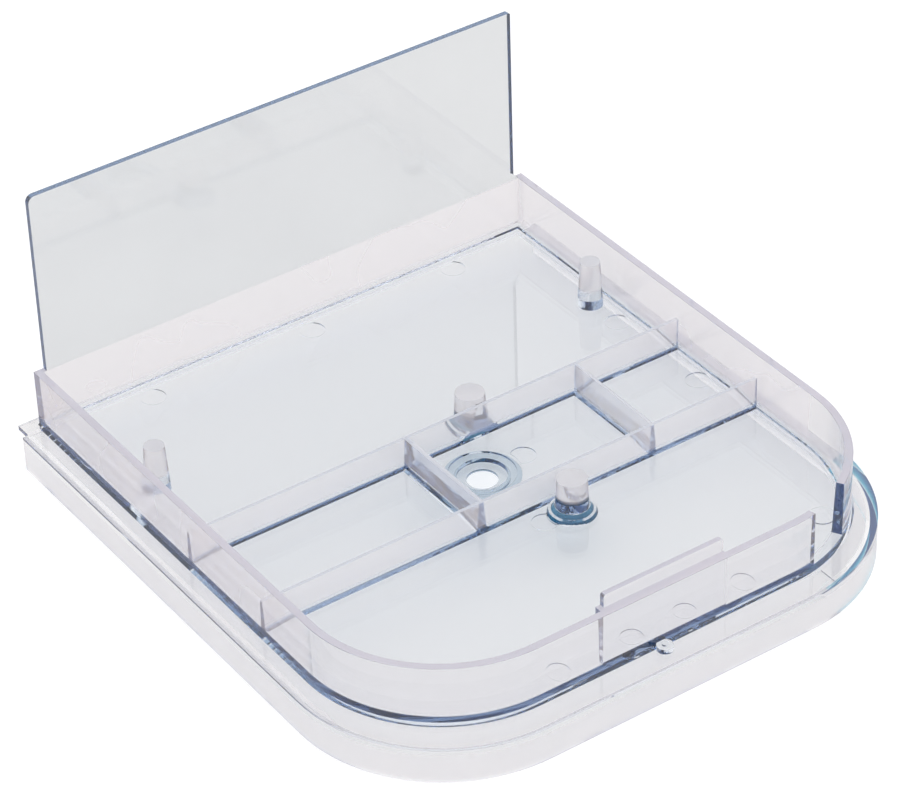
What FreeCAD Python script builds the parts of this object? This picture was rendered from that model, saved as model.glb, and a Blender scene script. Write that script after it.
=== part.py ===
import FreeCAD, Part
import math
import os

# Clear moulded cover tray: a floor with a low wall round it, a flange and a hanging skirt outside the
# wall, dividing ribs, screw posts, a dished hole, and a tall thin plate standing on the rear wall.
# Millimetres. +Z up, +X to the right and +Y to the rear. z = 0 is the skirt's bottom rim and the origin
# is under the middle of the overall footprint.

# Overall size
HALF_WIDTH = 101.2        # outer face of the skirt, left and right
FRONT_Y = -109.2          # outer face of the skirt, front
REAR_Y = 109.1            # rear edge of the ledge
SKIRT_REAR_Y = 103.2      # the skirt and flange stop here, the ledge goes on
LEDGE_HALF_WIDTH = 99.4
SKIRT_CORNER_R = 52.5
SKIRT_T = 2.4
SKIRT_CHAMFER = 1.2       # inside corner between the skirt and the flange

# Levels
FLANGE_BOTTOM_Z = 10.1
FLANGE_TOP_Z = 12.6
LEDGE_BOTTOM_Z = 11.4
LEDGE_TOP_Z = 13.0
FLOOR_BOTTOM_Z = 11.5
FLOOR_TOP_Z = 14.0
WALL_TOP_Z = 33.5
RIB_TOP_Z = 25.0
TAB_TOP_Z = 38.1
PLATE_TOP_Z = 98.5

# Wall round the tray. Its outer face is upright. Its inner face leans, with a small chamfer at the floor.
WALL_LEFT_X = -93.6
WALL_RIGHT_X = 96.2
WALL_FRONT_Y = -99.5
WALL_REAR_Y = 105.7
WALL_CORNER_R = 48.0
WALL_TOP_T = 2.6
WALL_BASE_T = 3.4
REAR_WALL_TOP_T = 2.0
REAR_WALL_BASE_T = 2.3
TOE = 0.5
FOOT = 0.9                # chamfer outside the wall, on the flange
EDGE_R = 0.12             # rounding of the walls' top edges

# Gap in the wall at the front right corner: the point where its two end lines meet, and their angles
GAP_APEX = (40.9, -39.6)
GAP_REACH = 80.0          # length of the end lines, well past the wall
GAP_START_DEG = -75.0
GAP_END_DEG = -59.2
SILL_RISE = 0.2

# Tall rear plate
PLATE_LEFT_X = -89.95
PLATE_RIGHT_X = 91.6
PLATE_LEFT_CORNER_R = 2.4
PLATE_RIGHT_CORNER_R = 0.6
PLATE_FOOT = 2.4
PLATE_BEVEL = 0.6         # the right edge leans this much towards the rear face

# Tab on the inner face of the front wall
TAB_FRONT_Y = -96.2
TAB_BACK_Y = -94.5
TAB_LEFT_X = -20.1
TAB_PAD_LEFT_X = -21.8
TAB_RIGHT_X = 23.8
TAB_CORNER_R = 1.0

# Ribs: place of the middle plane, half the thickness at the top and at the base, chamfer at the floor
REAR_RIB = {"at": 15.8, "top": 0.6, "base": 1.2, "toe": 0.5}
FRONT_RIB = {"at": -24.9, "top": 0.6, "base": 1.2, "toe": 0.5}
LEFT_CROSS_RIB = {"at": -13.2, "top": 0.75, "base": 1.7, "toe": 0.8}
RIGHT_CROSS_RIB = {"at": 52.2, "top": 0.5, "base": 1.3, "toe": 0.35}

# Posts
THIN_POST = {"base_r": 4.3, "top_r": 3.35, "top_z": 30.8}
THICK_POST = {"base_r": 5.35, "top_r": 4.85, "top_z": 26.8}
LEFT_POST = (-81.7, 52.8)
RIGHT_POST = (85.4, 52.3)
MID_REAR_POST = (15.2, 21.3)
MID_FRONT_POST = (14.4, -33.9)
COLLAR = [(7.9, 0.0), (7.4, 1.2), (6.6, 1.5), (5.6, 2.8)]    # radius and height above the floor
COLLAR_R = COLLAR[0][0]
COLLAR_H = COLLAR[-1][1]

# Dished hole in the middle compartment
HOLE = (3.7, -1.2)
HOLE_R = 5.05
CUP_R = 12.5
CUP_STEP_R = 10.9
CUP_STEP_DEPTH = 0.6
CUP_WELL_R = 8.1
CUP_WELL_Z = 11.4
CUP_SHEET = 0.8           # thickness of the well's wall and floor

# Shallow marks of the ejector pins in the floor
MARK_DEPTH = 0.3
MARK_R = 4.2
MARK_KEEP_OFF = 0.3       # a mark stops this far from the dish and from a collar
MARKS = [(-57.5, 95.1), (3.8, 95.3), (61.0, 96.6), (86.0, 38.4), (87.2, -3.1), (4.4, -33.2), (19.1, -1.6)]
FRONT_MARK_R = 3.6
FRONT_MARKS = [(-34.2, -91.5), (-7.4, -90.0), (12.4, -89.8), (34.5, -91.1)]
CORNER_DISC = (73.8, -81.8)
CORNER_DISC_R = 4.2
CORNER_DISC_H = 0.3

# Moulding gate at the foot of the front wall, and the flange's sloping front field
GATE = (-1.8, -101.6)
GATE_R = 2.6
GATE_H = 1.5
GATE_ROOT = 1.2           # depth of the stub in the flange
GATE_PIP_R = 1.0
GATE_PIP_H = 0.6
FIELD_LEFT_X = -48.8
FIELD_RIGHT_X = 58.0
FIELD_REAR_Y = -100.6
FIELD_DEPTH = 0.35

PAST = 5.0                # how far a cutting shape runs past what it cuts
BITE = 1.0                # how far a blank reaches into the wall that it is then cut by


def vec(x, y, z=0.0):
    return FreeCAD.Vector(x, y, z)


def u_outline(left, right, front, rear, radius):
    """Face in the XY plane with two rounded front corners and square rear corners."""
    c = radius * math.sqrt(0.5)
    edges = [
        Part.makeLine(vec(right, rear), vec(left, rear)),
        Part.makeLine(vec(left, rear), vec(left, front + radius)),
        Part.Arc(
            vec(left, front + radius),
            vec(left + radius - c, front + radius - c),
            vec(left + radius, front),
        ).toShape(),
        Part.makeLine(vec(left + radius, front), vec(right - radius, front)),
        Part.Arc(
            vec(right - radius, front),
            vec(right - radius + c, front + radius - c),
            vec(right, front + radius),
        ).toShape(),
        Part.makeLine(vec(right, front + radius), vec(right, rear)),
    ]
    return Part.Face(Part.Wire(edges))


def prism(face, low, high):
    """The face lifted to z = low and raised to z = high."""
    lifted = face.copy()
    lifted.translate(vec(0, 0, low))
    return lifted.extrude(vec(0, 0, high - low))


def box(x0, x1, y0, y1, z0, z1):
    return Part.makeBox(x1 - x0, y1 - y0, z1 - z0, vec(x0, y0, z0))


def disc(centre, radius, z0, z1):
    return Part.makeCylinder(radius, z1 - z0, vec(centre[0], centre[1], z0))


def cone(centre, base_r, top_r, z0, z1):
    return Part.makeCone(base_r, top_r, z1 - z0, vec(centre[0], centre[1], z0))


def only_solid(shape):
    """The single solid of a cut or common result."""
    assert len(shape.Solids) == 1, len(shape.Solids)
    return shape.Solids[0]


def edges_where(shape, test):
    """Edges whose every vertex and middle point passes the test."""
    found = []
    for edge in shape.Edges:
        middle = edge.valueAt((edge.FirstParameter + edge.LastParameter) / 2)
        points = [v.Point for v in edge.Vertexes] + [middle]
        if all(test(p) for p in points):
            found.append(edge)
    return found


def near(a, b):
    return abs(a - b) < 1e-4


def wall_outer():
    return u_outline(WALL_LEFT_X, WALL_RIGHT_X, WALL_FRONT_Y, WALL_REAR_Y, WALL_CORNER_R)


def wall_inner(rear, thickness):
    return u_outline(
        WALL_LEFT_X + thickness,
        WALL_RIGHT_X - thickness,
        WALL_FRONT_Y + thickness,
        rear,
        WALL_CORNER_R - thickness,
    )


def wall_section(at):
    """Section of a wall with its foot and rounded top. at(d, z) is the point d inside the outer face."""
    top = WALL_TOP_Z
    toe_t = WALL_BASE_T + TOE
    toe_z = FLOOR_TOP_Z + TOE
    inner_t = WALL_TOP_T + EDGE_R * (WALL_BASE_T - WALL_TOP_T) / (top - toe_z)
    c = EDGE_R * (1 - math.sqrt(0.5))
    outer_top = at(0, top - EDGE_R)
    inner_top = at(inner_t, top - EDGE_R)
    edges = [
        Part.makeLine(at(toe_t, FLANGE_BOTTOM_Z), at(0, FLANGE_BOTTOM_Z)),
        Part.makeLine(at(0, FLANGE_BOTTOM_Z), at(0, FLANGE_TOP_Z)),
        Part.makeLine(at(0, FLANGE_TOP_Z), at(-FOOT, FLANGE_TOP_Z)),
        Part.makeLine(at(-FOOT, FLANGE_TOP_Z), at(0, FLANGE_TOP_Z + FOOT)),
        Part.makeLine(at(0, FLANGE_TOP_Z + FOOT), outer_top),
        Part.Arc(outer_top, at(c, top - c), at(EDGE_R, top)).toShape(),
        Part.makeLine(at(EDGE_R, top), at(WALL_TOP_T - EDGE_R, top)),
        Part.Arc(at(WALL_TOP_T - EDGE_R, top), at(WALL_TOP_T - c, top - c), inner_top).toShape(),
        Part.makeLine(inner_top, at(WALL_BASE_T, toe_z)),
        Part.makeLine(at(WALL_BASE_T, toe_z), at(toe_t, FLOOR_TOP_Z)),
        Part.makeLine(at(toe_t, FLOOR_TOP_Z), at(toe_t, FLANGE_BOTTOM_Z)),
    ]
    return Part.Face(Part.Wire(edges))


def stretches(section, left, right, front, rear, radius):
    """One section led round the left side, the front and the right side, as five solids by name."""
    up = vec(0, 0, 1)
    turn_y = front + radius
    left_x = left + radius
    right_x = right - radius
    on_left = section(lambda d, z: vec(left + d, turn_y, z))
    on_right = section(lambda d, z: vec(right - d, turn_y, z))
    left_of_front = section(lambda d, z: vec(left_x, front + d, z))
    right_of_front = section(lambda d, z: vec(right_x, front + d, z))
    return {
        "left": on_left.extrude(vec(0, rear - turn_y, 0)),
        "left_corner": on_left.revolve(vec(left_x, turn_y), up, 90),
        "front": left_of_front.extrude(vec(right_x - left_x, 0, 0)),
        "right_corner": right_of_front.revolve(vec(right_x, turn_y), up, 90),
        "right": on_right.extrude(vec(0, rear - turn_y, 0)),
    }


def gap_sector():
    """Wedge that the gap takes out of the wall at the front right corner."""
    ends = [math.radians(angle) for angle in (GAP_START_DEG, GAP_END_DEG)]
    apex = vec(*GAP_APEX)
    corners = [apex + vec(GAP_REACH * math.cos(a), GAP_REACH * math.sin(a)) for a in ends]
    return prism(Part.Face(Part.makePolygon([apex, *corners, apex])), 0, WALL_TOP_Z + PAST)


def along_x(profile, x0, x1):
    """The outline, given as (y, z) points, drawn out from x0 to x1."""
    points = [vec(x0, y, z) for y, z in profile + profile[:1]]
    return Part.Face(Part.makePolygon(points)).extrude(vec(x1 - x0, 0, 0))


def along_y(profile, y0, y1):
    """The outline, given as (x, z) points, drawn out from y0 to y1."""
    points = [vec(x, y0, z) for x, z in profile + profile[:1]]
    return Part.Face(Part.makePolygon(points)).extrude(vec(0, y1 - y0, 0))


def rear_wall(side_walls):
    """Low wall under the tall plate, between the two side walls."""
    toe_y = WALL_REAR_Y - REAR_WALL_BASE_T - TOE
    profile = [
        (toe_y, FLANGE_BOTTOM_Z),
        (toe_y, FLOOR_TOP_Z),
        (toe_y + TOE, FLOOR_TOP_Z + TOE),
        (WALL_REAR_Y - REAR_WALL_TOP_T, WALL_TOP_Z),
        (WALL_REAR_Y, WALL_TOP_Z),
        (WALL_REAR_Y, FLANGE_BOTTOM_Z),
    ]
    return only_solid(along_x(profile, WALL_LEFT_X + BITE, WALL_RIGHT_X - BITE).cut(side_walls))


def walls():
    """The wall's five stretches, the sill in the gap, and the rear wall."""
    wall = stretches(wall_section, WALL_LEFT_X, WALL_RIGHT_X, WALL_FRONT_Y, WALL_REAR_Y, WALL_CORNER_R)
    sector = gap_sector()
    beside_gap = sorted(wall["right_corner"].cut(sector).Solids, key=lambda s: s.BoundBox.XMin)
    low = box(0, HALF_WIDTH, FRONT_Y, 0, 0, FLOOR_TOP_Z + SILL_RISE)
    return {
        "left_wall": only_solid(wall["left"]),
        "left_corner_wall": only_solid(wall["left_corner"]),
        "front_wall": only_solid(wall["front"].fuse(beside_gap[0]).removeSplitter()),
        "right_wall": only_solid(wall["right"]),
        "right_corner_wall": beside_gap[1],
        "gap_sill": only_solid(wall["right_corner"].common(sector).common(low)),
        "rear_wall": rear_wall(wall["left"].fuse(wall["right"])),
    }


def back_plate():
    """Thin plate standing on the rear wall, as thick as its top, with a sloped foot at the right."""
    y = WALL_REAR_Y - REAR_WALL_TOP_T
    foot_x = WALL_RIGHT_X - WALL_TOP_T
    outline = [
        vec(PLATE_LEFT_X, y, WALL_TOP_Z),
        vec(foot_x, y, WALL_TOP_Z),
        vec(PLATE_RIGHT_X, y, WALL_TOP_Z + PLATE_FOOT),
        vec(PLATE_RIGHT_X, y, PLATE_TOP_Z),
        vec(PLATE_LEFT_X, y, PLATE_TOP_Z),
        vec(PLATE_LEFT_X, y, WALL_TOP_Z),
    ]
    plate = Part.Face(Part.makePolygon(outline)).extrude(vec(0, REAR_WALL_TOP_T, 0))
    for x, radius in ((PLATE_LEFT_X, PLATE_LEFT_CORNER_R), (PLATE_RIGHT_X, PLATE_RIGHT_CORNER_R)):
        corner = edges_where(plate, lambda p: near(p.z, PLATE_TOP_Z) and near(p.x, x))
        plate = plate.makeFillet(radius, corner)
    bevel = [
        vec(PLATE_RIGHT_X, y),
        vec(PLATE_RIGHT_X + PAST, y),
        vec(PLATE_RIGHT_X + PAST, WALL_REAR_Y),
        vec(PLATE_RIGHT_X - PLATE_BEVEL, WALL_REAR_Y),
        vec(PLATE_RIGHT_X, y),
    ]
    foot_top = WALL_TOP_Z + PLATE_FOOT
    return only_solid(plate.cut(prism(Part.Face(Part.makePolygon(bevel)), foot_top, PLATE_TOP_Z + PAST)))


def front_tab(front_wall):
    """Tab standing above the front wall, on a slightly wider pad against the wall's inner face."""
    pad = box(TAB_PAD_LEFT_X, TAB_RIGHT_X, WALL_FRONT_Y + BITE, TAB_BACK_Y, FLOOR_TOP_Z, WALL_TOP_Z)
    tab = box(TAB_LEFT_X, TAB_RIGHT_X, TAB_FRONT_Y, TAB_BACK_Y, FLOOR_TOP_Z, TAB_TOP_Z)
    whole = pad.fuse(tab).removeSplitter()
    corners = edges_where(
        whole,
        lambda p: near(p.z, TAB_TOP_Z) and (near(p.x, TAB_LEFT_X) or near(p.x, TAB_RIGHT_X)),
    )
    return only_solid(whole.makeFillet(TAB_CORNER_R, corners).cut(front_wall))


def flange():
    """Flat rim outside the wall, with a field at the front that slopes gently down to the right."""
    outer = u_outline(-HALF_WIDTH, HALF_WIDTH, FRONT_Y, SKIRT_REAR_Y, SKIRT_CORNER_R)
    rim = prism(outer, FLANGE_BOTTOM_Z, FLANGE_TOP_Z)
    rim = rim.cut(prism(wall_outer(), 0, FLANGE_TOP_Z + PAST))
    slope = [
        vec(FIELD_LEFT_X, FIELD_REAR_Y, FLANGE_TOP_Z),
        vec(FIELD_RIGHT_X, FIELD_REAR_Y, FLANGE_TOP_Z - FIELD_DEPTH),
        vec(FIELD_RIGHT_X, FIELD_REAR_Y, FLANGE_TOP_Z + PAST),
        vec(FIELD_LEFT_X, FIELD_REAR_Y, FLANGE_TOP_Z + PAST),
        vec(FIELD_LEFT_X, FIELD_REAR_Y, FLANGE_TOP_Z),
    ]
    field = Part.Face(Part.makePolygon(slope)).extrude(vec(0, FRONT_Y - PAST - FIELD_REAR_Y, 0))
    return only_solid(rim.cut(field))


def rear_ledge(side_walls):
    """Narrower and thinner strip of the base that runs on behind the skirt and the rear wall."""
    strip = box(-LEDGE_HALF_WIDTH, LEDGE_HALF_WIDTH, SKIRT_REAR_Y, REAR_Y, LEDGE_BOTTOM_Z, LEDGE_TOP_Z)
    return only_solid(strip.cut(prism(wall_outer(), 0, LEDGE_TOP_Z + PAST)).cut(side_walls))


def skirt_section(at):
    """Section of the skirt, with a chamfer in the corner under the flange."""
    low = FLANGE_BOTTOM_Z - SKIRT_CHAMFER
    points = [
        at(0, 0),
        at(SKIRT_T, 0),
        at(SKIRT_T, low),
        at(SKIRT_T + SKIRT_CHAMFER, FLANGE_BOTTOM_Z),
        at(0, FLANGE_BOTTOM_Z),
        at(0, 0),
    ]
    return Part.Face(Part.makePolygon(points))


def skirt():
    """Band that hangs from the flange on the left, front and right. The rear is open."""
    band = stretches(skirt_section, -HALF_WIDTH, HALF_WIDTH, FRONT_Y, SKIRT_REAR_Y, SKIRT_CORNER_R)
    first, *others = band.values()
    return only_solid(first.fuse(others).removeSplitter())


def turned(points, centre):
    """Solid made by turning an outline of (radius, z) points about the upright line through centre."""
    outline = Part.Face(Part.makePolygon([vec(r, 0, z) for r, z in points + points[:1]]))
    solid = outline.revolve(vec(0, 0, 0), vec(0, 0, 1), 360)
    solid.translate(vec(*centre))
    return solid


def hole_cup():
    """Stepped dish with a through hole. Its thin well hangs a little below the floor."""
    step_z = FLOOR_TOP_Z - CUP_STEP_DEPTH
    bottom_z = CUP_WELL_Z - CUP_SHEET
    outline = [
        (HOLE_R, bottom_z),
        (CUP_WELL_R + CUP_SHEET, bottom_z),
        (CUP_WELL_R + CUP_SHEET, FLOOR_BOTTOM_Z),
        (CUP_R, FLOOR_BOTTOM_Z),
        (CUP_R, FLOOR_TOP_Z),
        (CUP_STEP_R, FLOOR_TOP_Z),
        (CUP_STEP_R, step_z),
        (CUP_WELL_R, step_z),
        (CUP_WELL_R, CUP_WELL_Z),
        (HOLE_R, CUP_WELL_Z),
    ]
    return turned(outline, HOLE)


def floor_panel():
    """Floor slab inside the walls, open for the dished hole and marked by the ejector pins."""
    outline = wall_inner(WALL_REAR_Y - REAR_WALL_BASE_T - TOE, WALL_BASE_T + TOE)
    slab = prism(outline, FLOOR_BOTTOM_Z, FLOOR_TOP_Z)
    slab = slab.cut(disc(HOLE, CUP_R, FLOOR_BOTTOM_Z - PAST, FLOOR_TOP_Z + PAST))
    keep = disc(HOLE, CUP_R + MARK_KEEP_OFF, 0, RIB_TOP_Z)
    keep = keep.fuse(disc(MID_FRONT_POST, COLLAR_R + MARK_KEEP_OFF, 0, RIB_TOP_Z))
    marks = [(centre, MARK_R) for centre in MARKS] + [(centre, FRONT_MARK_R) for centre in FRONT_MARKS]
    for centre, radius in marks:
        mark = disc(centre, radius, FLOOR_TOP_Z - MARK_DEPTH, FLOOR_TOP_Z + PAST)
        slab = slab.cut(mark.cut(keep))
    return only_solid(slab)


def rib_profile(rib):
    """Section of a rib: a chamfer at the floor, then two leaning faces up to a narrow top."""
    toe_z = FLOOR_TOP_Z + rib["toe"]
    half = [(rib["base"] + rib["toe"], FLOOR_TOP_Z), (rib["base"], toe_z), (rib["top"], RIB_TOP_Z)]
    right = [(rib["at"] + h, z) for h, z in half]
    left = [(rib["at"] - h, z) for h, z in reversed(half)]
    return right + left


def ribs(side_walls):
    """Two long ribs from wall to wall, and two cross ribs between them."""
    rear = along_x(rib_profile(REAR_RIB), WALL_LEFT_X + BITE, WALL_RIGHT_X - BITE).cut(side_walls)
    front = along_x(rib_profile(FRONT_RIB), WALL_LEFT_X + BITE, WALL_RIGHT_X - BITE).cut(side_walls)
    parts = {"rear_divider_rib": only_solid(rear), "front_divider_rib": only_solid(front)}
    long_ribs = rear.fuse(front)
    for name, rib in (("left_cross_rib", LEFT_CROSS_RIB), ("right_cross_rib", RIGHT_CROSS_RIB)):
        cross = along_y(rib_profile(rib), FRONT_RIB["at"], REAR_RIB["at"])
        parts[name] = only_solid(cross.cut(long_ribs))
    return parts


def behind_rib(blank, rib):
    """What is left of a post or collar behind the rear divider rib, which passes through its front."""
    flat_y = REAR_RIB["at"] + REAR_RIB["top"]
    whole = blank.cut(rib).cut(box(WALL_LEFT_X, WALL_RIGHT_X, 0, flat_y, 0, WALL_TOP_Z))
    return sorted(whole.Solids, key=lambda s: s.Volume)[-1]


def posts(dividers):
    """Two thin posts straight on the floor and two thick ones on low stepped collars."""
    parts = {}
    for name, centre in (("left_post", LEFT_POST), ("right_post", RIGHT_POST)):
        p = THIN_POST
        parts[name] = cone(centre, p["base_r"], p["top_r"], FLOOR_TOP_Z, p["top_z"])
    collar = [(0, FLOOR_TOP_Z)] + [(r, FLOOR_TOP_Z + h) for r, h in COLLAR] + [(0, FLOOR_TOP_Z + COLLAR_H)]
    for name, centre in (("mid_rear", MID_REAR_POST), ("mid_front", MID_FRONT_POST)):
        p = THICK_POST
        z = FLOOR_TOP_Z + COLLAR_H
        parts[name + "_collar"] = turned(collar, centre)
        parts[name + "_post"] = cone(centre, p["base_r"], p["top_r"], z, p["top_z"])
    for name in ("mid_rear_collar", "mid_rear_post"):
        parts[name] = behind_rib(parts[name], dividers["rear_divider_rib"])
    parts["mid_front_collar"] = only_solid(parts["mid_front_collar"].cut(dividers["front_divider_rib"]))
    return parts


def gate_nub(front_wall):
    """Cut-off gate: a low round stub with a pip, standing on the flange against the front wall."""
    stub = disc(GATE, GATE_R, FLANGE_TOP_Z - GATE_ROOT, FLANGE_TOP_Z + GATE_H)
    pip = disc(GATE, GATE_PIP_R, FLANGE_TOP_Z, FLANGE_TOP_Z + GATE_H + GATE_PIP_H)
    return only_solid(stub.fuse(pip).removeSplitter().cut(front_wall))


def imprint(parts):
    """Split touching faces along each other's outlines, so a joint is the same face in both solids."""
    names = list(parts)
    shapes = [only_solid(parts[name]) for name in names]
    pieces = shapes[0].generalFuse(shapes[1:])[1]
    marked = {}
    for name, made in zip(names, pieces):
        solids = [s for piece in made for s in piece.Solids]
        assert len(solids) == 1, (name, len(solids))
        marked[name] = solids[0]
    return marked


def build():
    parts = walls()
    side_walls = parts["left_wall"].fuse(parts["right_wall"])
    parts.update(ribs(side_walls))
    parts.update(posts(parts))
    parts.update({
        "floor_panel": floor_panel(),
        "hole_cup": hole_cup(),
        "flange_rim": flange(),
        "rear_ledge": rear_ledge(side_walls),
        "outer_skirt": skirt(),
        "back_plate": back_plate(),
        "front_tab": front_tab(parts["front_wall"]),
        "gate_nub": gate_nub(parts["front_wall"]),
        "corner_disc": disc(CORNER_DISC, CORNER_DISC_R, FLOOR_TOP_Z, FLOOR_TOP_Z + CORNER_DISC_H),
    })
    parts["flange_rim"] = only_solid(parts["flange_rim"].cut(parts["gate_nub"]))
    return imprint(parts)


os.makedirs("parts", exist_ok=True)
for node, solid in build().items():
    print(node, len(solid.Faces), round(solid.Volume / 1000, 2), solid.isValid())
    solid.exportStep("parts/" + node + ".step")
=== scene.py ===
import math

import bpy
from mathutils import Matrix, Vector
from mathutils.bvhtree import BVHTree

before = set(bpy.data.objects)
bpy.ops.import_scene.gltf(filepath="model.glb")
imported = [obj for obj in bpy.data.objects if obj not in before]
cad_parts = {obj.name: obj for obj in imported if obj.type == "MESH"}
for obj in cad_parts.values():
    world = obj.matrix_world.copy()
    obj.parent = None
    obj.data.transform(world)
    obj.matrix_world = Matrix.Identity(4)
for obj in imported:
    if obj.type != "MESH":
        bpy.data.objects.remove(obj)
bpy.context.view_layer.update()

MM = 0.001
scene = bpy.context.scene

# Camera: a long lens, seen from the front left and from above
AZIMUTH = math.radians(-33.778)
ELEVATION = math.radians(36.246)
ROLL = math.radians(-2.008)
LENS = 154.65
SENSOR_WIDTH = 36.0
DISTANCE = 1.2215
CLIP_END = 50.0
AIM = Vector((0.0112, 0.0267, 0.0215))

# Clear plastic. One moulding would have one set of values. These differ by part, to match the tone that each
# part has from the camera: lit and shaded copies of one plastic, so their differences are painted light and
# shade:
#   absorption   per metre of the light's path inside, in red, green and blue
#   haze         mean roughness of the outer side
#   milk, veil   share of light that the outer side scatters, and its colour
#   ripple       height of the flow marks
#   clear_below  height under which there is no haze and no milk
IOR = 1.585
INNER_SCATTER = 0.01              # share of light that the inner side scatters
CLEAR_Z = 15.4 * MM               # just above the feet of the walls and ribs
POST_CLEAR_Z = 20.0 * MM
BELOW_ALL = -1.0
PLASTICS = {
    "base": dict(absorption=(17.5, 13.7, 8.4)),
    "flange": dict(absorption=(12.0, 10.0, 7.0), milk=0.12, veil=(1.0, 0.9, 0.9),
                   clear_below=BELOW_ALL),
    "wall": dict(absorption=(15.0, 12.0, 7.5), haze=0.1, milk=0.26, veil=(1.0, 0.88, 0.9)),
    "front": dict(absorption=(16.0, 13.0, 8.5), haze=0.03, milk=0.14, veil=(1.0, 0.85, 0.85)),
    "edge": dict(absorption=(16.0, 13.0, 8.0), milk=0.5, veil=(0.76, 0.68, 0.74)),
    # The skirt's lower absorption and whiter veil are painted light, making it paler than the same plastic
    # elsewhere
    "skirt": dict(absorption=(9.0, 7.0, 5.0), haze=0.1, milk=0.35, veil=(1.0, 0.95, 0.97),
                  clear_below=BELOW_ALL),
    # Painted shade: this nearly opaque plastic darkens the skirt's downward faces at the right front corner
    "painted_shade_rim": dict(absorption=(600.0, 170.0, 90.0)),
    "rib": dict(absorption=(45.0, 33.0, 20.0), haze=0.02, milk=0.3, veil=(1.0, 0.92, 0.92)),
    "plate": dict(absorption=(14.0, 9.5, 5.0), haze=0.05, milk=0.15, veil=(0.36, 0.37, 0.4),
                  ripple=0.02 * MM),
    "post": dict(absorption=(16.0, 12.0, 8.0), milk=0.45, veil=(0.85, 0.78, 0.78),
                 clear_below=POST_CLEAR_Z),
    # The collars and the cup are the same plastic; their much stronger absorption is painted shade for their
    # dark rings
    "collar": dict(absorption=(400.0, 230.0, 160.0)),
    "cup": dict(absorption=(150.0, 105.0, 70.0)),
}

# The nodes of each plastic; the other nodes are of the base plastic
USES = {
    "flange": ("flange_rim", "rear_ledge"),
    "wall": ("left_wall", "right_wall", "rear_wall"),
    "front": ("left_corner_wall", "front_wall", "front_tab", "right_corner_wall"),
    "skirt": ("outer_skirt",),
    "rib": ("rear_divider_rib", "front_divider_rib", "left_cross_rib", "right_cross_rib"),
    "plate": ("back_plate",),
    "post": ("left_post", "right_post", "mid_rear_post", "mid_front_post"),
    "collar": ("mid_rear_collar", "mid_front_collar"),
    "cup": ("hole_cup",),
}

# Faces that differ from the rest of their node: the nodes, the way that the faces face, the least x and the
# greatest y of their middle, and their plastic. The dark rim is painted shade: a nearly opaque plastic that
# stands in for two dark arcs that show from the camera. It is kept to one corner, so from above it ends
# abruptly.
UP = Vector((0, 0, 1))
DOWN = Vector((0, 0, -1))
REARWARD = Vector((0, 1, 0))
TOWARDS_GAP = Vector((-0.77, -0.64, 0))
ANYWHERE = (-1.0, 1.0)
# The corner where the skirt's downward faces take the painted shade
PAINTED_SHADE_CORNER = (60.0 * MM, -40.0 * MM)
END_FACING = 0.9                  # least cosine between a face's normal and that way
ENDS = (
    (("outer_skirt",), DOWN, PAINTED_SHADE_CORNER, "painted_shade_rim"),
    (("left_wall",), REARWARD, ANYWHERE, "base"),
    (("right_corner_wall",), TOWARDS_GAP, ANYWHERE, "base"),
    (USES["wall"] + USES["front"], UP, ANYWHERE, "edge"),
)

# Material slots of each node, and the joint faces, where two nodes of the one moulding meet
PLASTIC_SLOT = 0
JOINT_SLOT = 1
FIRST_END_SLOT = 2
JOINT_GAP = 0.1 * MM
JOINT_FACING = -0.9               # greatest cosine between the two normals

# Uneven veil and flow marks
PATCH_SCALE = 30.0
PATCH_NOISE = (0.2, 0.8)
PATCH_AMOUNT = (0.85, 1.15)
FADE_HEIGHT = 1.5 * MM
FLOW_SCALE = 28.0
NOISE_DETAIL = 1.0

# Staging and light
FLOOR_ALBEDO = 0.88
FLOOR_GLOW = 0.24
FLOOR_HALF = 6.0
FLOOR_Z = -0.3 * MM
WORLD = 1.0
CLEAR_BOUNCES = 120               # trapped light needs many
DIFFUSE_BOUNCES = 12


def node_graph(name):
    """A new material, its node tree and its output node."""
    mat = bpy.data.materials.new(name)
    mat.use_nodes = True
    tree = mat.node_tree
    tree.nodes.clear()
    return mat, tree, tree.nodes.new("ShaderNodeOutputMaterial")


def link(tree, source, target):
    tree.links.new(source, target)


def node(tree, kind, **settings):
    """A new node, with plain settings of its own or plain values of its inputs."""
    made = tree.nodes.new(kind)
    for key, value in settings.items():
        if hasattr(made, key):
            setattr(made, key, value)
        else:
            made.inputs[key.replace("_", " ").title()].default_value = value
    return made


def product(tree, source, factor):
    """The source times a plain number or another source."""
    made = node(tree, "ShaderNodeMath", operation="MULTIPLY")
    link(tree, source, made.inputs[0])
    if isinstance(factor, float):
        made.inputs[1].default_value = factor
    else:
        link(tree, factor, made.inputs[1])
    return made.outputs[0]


def inner_tint(tree, absorption):
    """White outside. Inside, a tint by the length of the light's path to the face that it meets."""
    path = tree.nodes.new("ShaderNodeLightPath")
    side = tree.nodes.new("ShaderNodeNewGeometry")
    inside = product(tree, path.outputs["Ray Length"], side.outputs["Backfacing"])
    tint = tree.nodes.new("ShaderNodeCombineColor")
    for channel, rate in zip(("Red", "Green", "Blue"), absorption):
        power = node(tree, "ShaderNodeMath", operation="EXPONENT")
        link(tree, product(tree, inside, -rate), power.inputs[0])
        link(tree, power.outputs[0], tint.inputs[channel])
    return tint.outputs[0]


def ramp(tree, source, low, high, start, end):
    """A value that goes from start to end while the source goes from low to high."""
    made = tree.nodes.new("ShaderNodeMapRange")
    for key, value in (("From Min", low), ("From Max", high), ("To Min", start), ("To Max", end)):
        made.inputs[key].default_value = value
    link(tree, source, made.inputs["Value"])
    return made.outputs["Result"]


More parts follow.
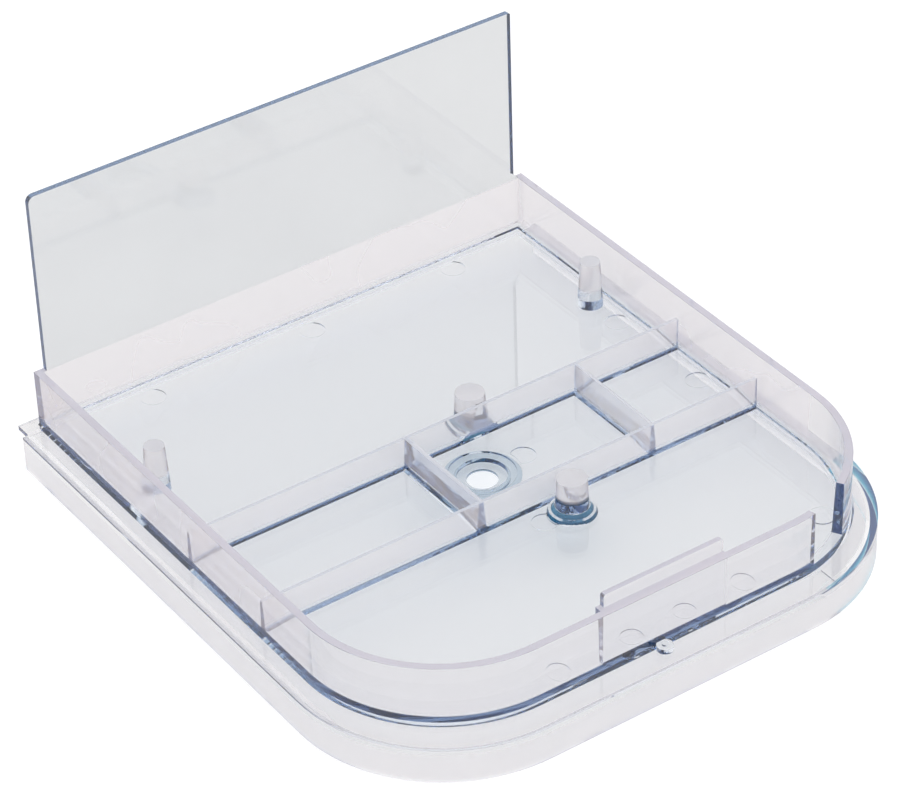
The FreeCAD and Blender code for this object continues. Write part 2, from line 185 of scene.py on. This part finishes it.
def patchy_above(tree, place, clear_below):
    """An uneven amount, about 1, that starts at the given height."""
    patches = node(tree, "ShaderNodeTexNoise", scale=PATCH_SCALE, detail=NOISE_DETAIL)
    link(tree, place, patches.inputs["Vector"])
    height = tree.nodes.new("ShaderNodeSeparateXYZ")
    link(tree, place, height.inputs[0])
    above = ramp(tree, height.outputs["Z"], clear_below, clear_below + FADE_HEIGHT, 0.0, 1.0)
    uneven = ramp(tree, patches.outputs["Fac"], *PATCH_NOISE, *PATCH_AMOUNT)
    return product(tree, uneven, above)


def flow_marks(tree, place, ripple):
    flow = node(tree, "ShaderNodeTexNoise", scale=FLOW_SCALE, detail=NOISE_DETAIL)
    link(tree, place, flow.inputs["Vector"])
    bump = node(tree, "ShaderNodeBump", strength=1.0, distance=ripple)
    link(tree, flow.outputs["Fac"], bump.inputs["Height"])
    return bump.outputs["Normal"]


def outer_inner(tree, inside, outer, inner):
    """A plain number or a source on the outer side, and a plain number on the inner side."""
    made = tree.nodes.new("ShaderNodeMix")
    link(tree, inside, made.inputs[0])
    if isinstance(outer, float):
        made.inputs[2].default_value = outer
    else:
        link(tree, outer, made.inputs[2])
    made.inputs[3].default_value = inner
    return made.outputs[0]


def clear_plastic(name, absorption, haze=0.0, milk=0.0, veil=(1, 1, 1), ripple=0.0, clear_below=CLEAR_Z):
    """Clear moulded plastic, smooth inside. Its outer side can be milky, and then also hazy or rippled."""
    mat, tree, out = node_graph(name + "_plastic")
    inside = tree.nodes.new("ShaderNodeNewGeometry").outputs["Backfacing"]
    glass = node(tree, "ShaderNodeBsdfGlass", roughness=0.0)
    glass.inputs["IOR"].default_value = IOR
    link(tree, inner_tint(tree, absorption), glass.inputs["Color"])
    outer_scatter = 0.0
    if milk:
        place = tree.nodes.new("ShaderNodeTexCoord").outputs["Object"]
        amount = patchy_above(tree, place, clear_below)
        outer_scatter = product(tree, amount, milk)
        if haze:
            roughness = outer_inner(tree, inside, product(tree, amount, haze), 0.0)
            link(tree, roughness, glass.inputs["Roughness"])
        if ripple:
            link(tree, flow_marks(tree, place, ripple), glass.inputs["Normal"])
    scatter = tree.nodes.new("ShaderNodeBsdfDiffuse")
    scatter.inputs["Color"].default_value = (*veil, 1)
    mixed = tree.nodes.new("ShaderNodeMixShader")
    link(tree, outer_inner(tree, inside, outer_scatter, INNER_SCATTER), mixed.inputs[0])
    link(tree, glass.outputs[0], mixed.inputs[1])
    link(tree, scatter.outputs[0], mixed.inputs[2])
    link(tree, mixed.outputs[0], out.inputs["Surface"])
    return mat


def joint_material():
    """Where two nodes meet inside the moulding there is no surface, so the face is fully see-through."""
    mat, tree, out = node_graph("joint")
    shader = tree.nodes.new("ShaderNodeBsdfPrincipled")
    shader.inputs["Alpha"].default_value = 0.0
    link(tree, shader.outputs[0], out.inputs["Surface"])
    return mat


def surface_of(mesh):
    return BVHTree.FromPolygons([v.co for v in mesh.vertices], [p.vertices for p in mesh.polygons])


def meets_another(face, others):
    """Whether a face lies against the surface of another node."""
    for surface in others:
        where, normal, _, _ = surface.find_nearest(face.center, JOINT_GAP)
        if where is not None and normal.dot(face.normal) < JOINT_FACING:
            return True
    return False


def slot_of(face, ends, others):
    if meets_another(face, others):
        return JOINT_SLOT
    for slot, (_, facing, (least_x, most_y), _) in enumerate(ends, FIRST_END_SLOT):
        placed = face.center.x > least_x and face.center.y < most_y
        if placed and face.normal.dot(facing) > END_FACING:
            return slot
    return PLASTIC_SLOT


def assign_materials(nodes, plastics, joint):
    surfaces = {name: surface_of(ob.data) for name, ob in nodes.items()}
    plastic_of = {user: plastics[look] for look, users in USES.items() for user in users}
    for name, ob in nodes.items():
        mesh = ob.data
        others = [surface for other, surface in surfaces.items() if other != name]
        ends = [end for end in ENDS if name in end[0]]
        mesh.materials.clear()
        mesh.materials.append(plastic_of.get(name, plastics["base"]))
        mesh.materials.append(joint)
        for end in ends:
            mesh.materials.append(plastics[end[3]])
        for face in mesh.polygons:
            face.material_index = slot_of(face, ends, others)


def camera():
    back = Vector((
        math.sin(AZIMUTH) * math.cos(ELEVATION),
        -math.cos(AZIMUTH) * math.cos(ELEVATION),
        math.sin(ELEVATION),
    ))
    level = Vector((math.cos(AZIMUTH), math.sin(AZIMUTH), 0.0))
    rise = back.cross(level)
    right = level * math.cos(ROLL) + rise * math.sin(ROLL)
    up = rise * math.cos(ROLL) - level * math.sin(ROLL)
    data = bpy.data.cameras.new("camera")
    data.lens = LENS
    data.sensor_width = SENSOR_WIDTH
    data.clip_end = CLIP_END
    cam = bpy.data.objects.new("camera", data)
    scene.collection.objects.link(cam)
    turn = Matrix((right, up, back)).transposed().to_4x4()
    cam.matrix_world = Matrix.Translation(AIM + back * DISTANCE) @ turn
    scene.camera = cam


def floor():
    """Plain pale floor. It glows a little for the camera only, to meet the white behind the object."""
    mesh = bpy.data.meshes.new("floor")
    low, high = -FLOOR_HALF, FLOOR_HALF
    corners = [(low, low, 0), (high, low, 0), (high, high, 0), (low, high, 0)]
    mesh.from_pydata(corners, [], [(0, 1, 2, 3)])
    ob = bpy.data.objects.new("floor", mesh)
    ob.location.z = FLOOR_Z
    scene.collection.objects.link(ob)
    mat, tree, out = node_graph("floor")
    shader = tree.nodes.new("ShaderNodeBsdfDiffuse")
    shader.inputs["Color"].default_value = (FLOOR_ALBEDO, FLOOR_ALBEDO, FLOOR_ALBEDO, 1)
    glow = tree.nodes.new("ShaderNodeEmission")
    glow.inputs["Strength"].default_value = FLOOR_GLOW
    path = tree.nodes.new("ShaderNodeLightPath")
    seen = tree.nodes.new("ShaderNodeMixShader")
    both = tree.nodes.new("ShaderNodeAddShader")
    link(tree, shader.outputs[0], both.inputs[0])
    link(tree, glow.outputs[0], both.inputs[1])
    link(tree, path.outputs["Is Camera Ray"], seen.inputs[0])
    link(tree, shader.outputs[0], seen.inputs[1])
    link(tree, both.outputs[0], seen.inputs[2])
    link(tree, seen.outputs[0], out.inputs["Surface"])
    mesh.materials.append(mat)


def studio():
    """The same soft white light from every side."""
    world = bpy.data.worlds.new("studio")
    scene.world = world
    world.use_nodes = True
    back = world.node_tree.nodes["Background"]
    back.inputs["Color"].default_value = (1, 1, 1, 1)
    back.inputs["Strength"].default_value = WORLD


made = {name: clear_plastic(name, **look) for name, look in PLASTICS.items()}
assign_materials(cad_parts, made, joint_material())
camera()
floor()
studio()
scene.view_settings.view_transform = "Standard"
scene.cycles.max_bounces = CLEAR_BOUNCES
scene.cycles.transmission_bounces = CLEAR_BOUNCES
scene.cycles.glossy_bounces = CLEAR_BOUNCES
scene.cycles.transparent_max_bounces = CLEAR_BOUNCES
scene.cycles.diffuse_bounces = DIFFUSE_BOUNCES
scene.cycles.blur_glossy = 0.0
